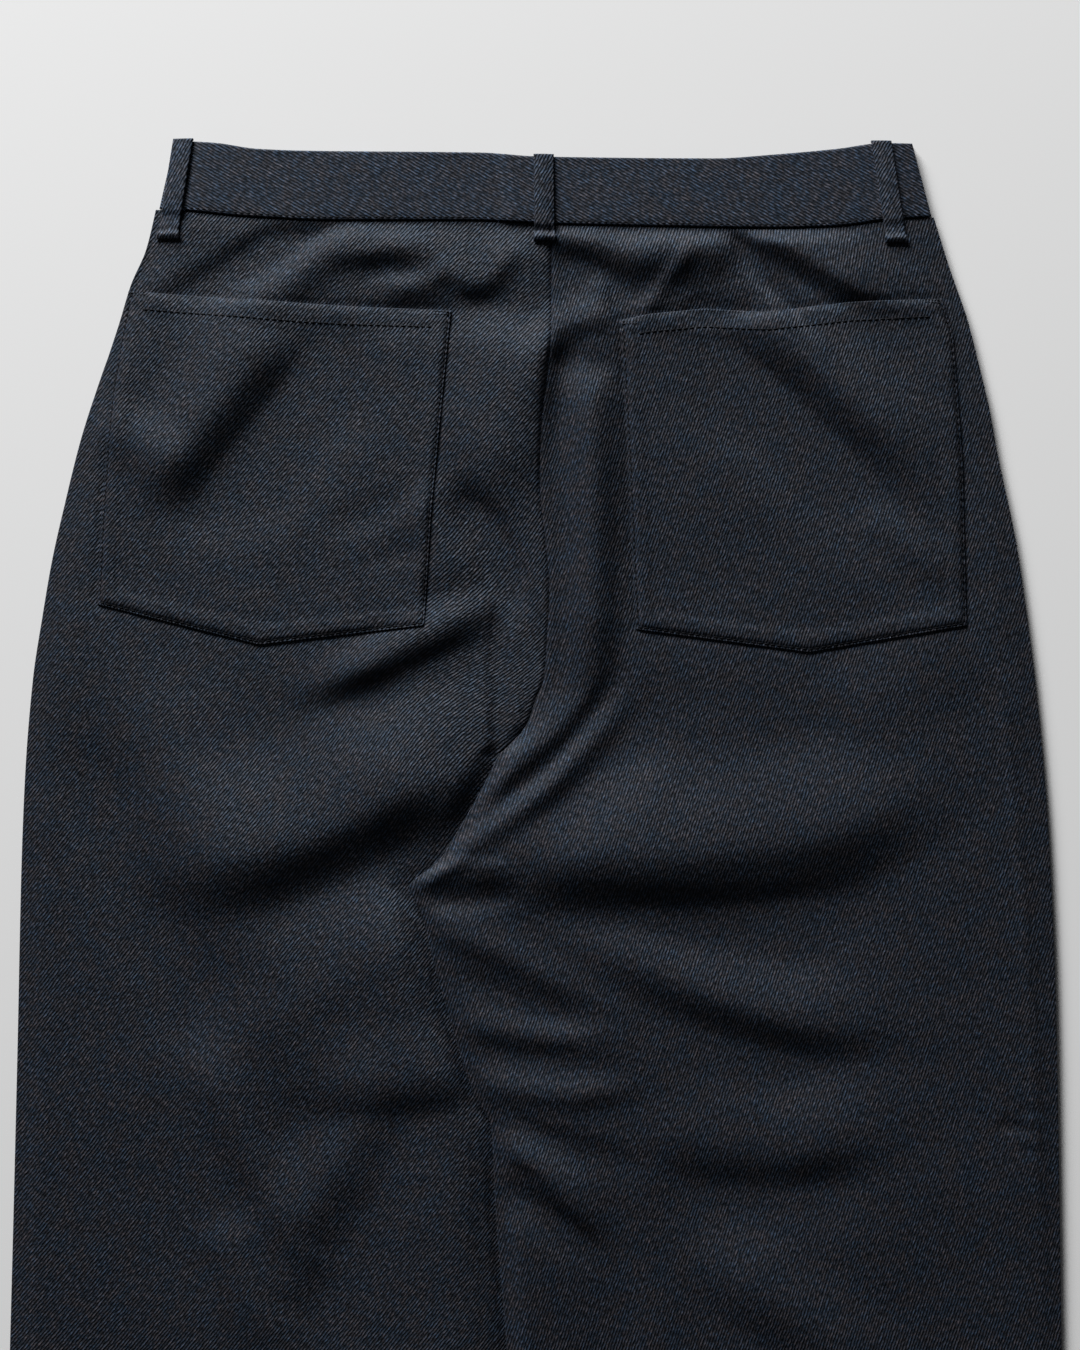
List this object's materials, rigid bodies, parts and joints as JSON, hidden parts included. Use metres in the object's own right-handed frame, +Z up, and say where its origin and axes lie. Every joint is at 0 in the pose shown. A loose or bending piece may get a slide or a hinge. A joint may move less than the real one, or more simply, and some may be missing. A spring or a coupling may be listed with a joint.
{
  "type": "wide-leg trousers",
  "caption": "Dark wide-leg trousers of heavy twill laid flat with the back side up, waistband with belt loops and two patch pockets.",
  "frame": {"origin": "on the surface it lies on, under the middle of the garment's outline", "axes": "+X across the garment to the right as seen from above, +Y from the hems to the waistband, +Z up, out of the back of the garment"},
  "size_m": [0.568, 1.042, 0.0111],
  "materials": {
    "cloth": "heavy twill, matt with a soft sheen",
    "button": "dark horn, satin"
  },
  "bodies": {
    "root": {"left_front_panel": "cloth", "right_front_panel": "cloth", "left_back_panel": "cloth", "right_back_panel": "cloth", "left_back_pocket": "cloth", "right_back_pocket": "cloth", "left_front_waistband": "cloth", "right_front_waistband": "cloth", "back_waistband": "cloth", "left_back_loop": "cloth", "centre_back_loop": "cloth", "right_back_loop": "cloth", "left_front_loop": "cloth", "right_front_loop": "cloth", "waist_button": "button"}
  },
  "joints": []
}
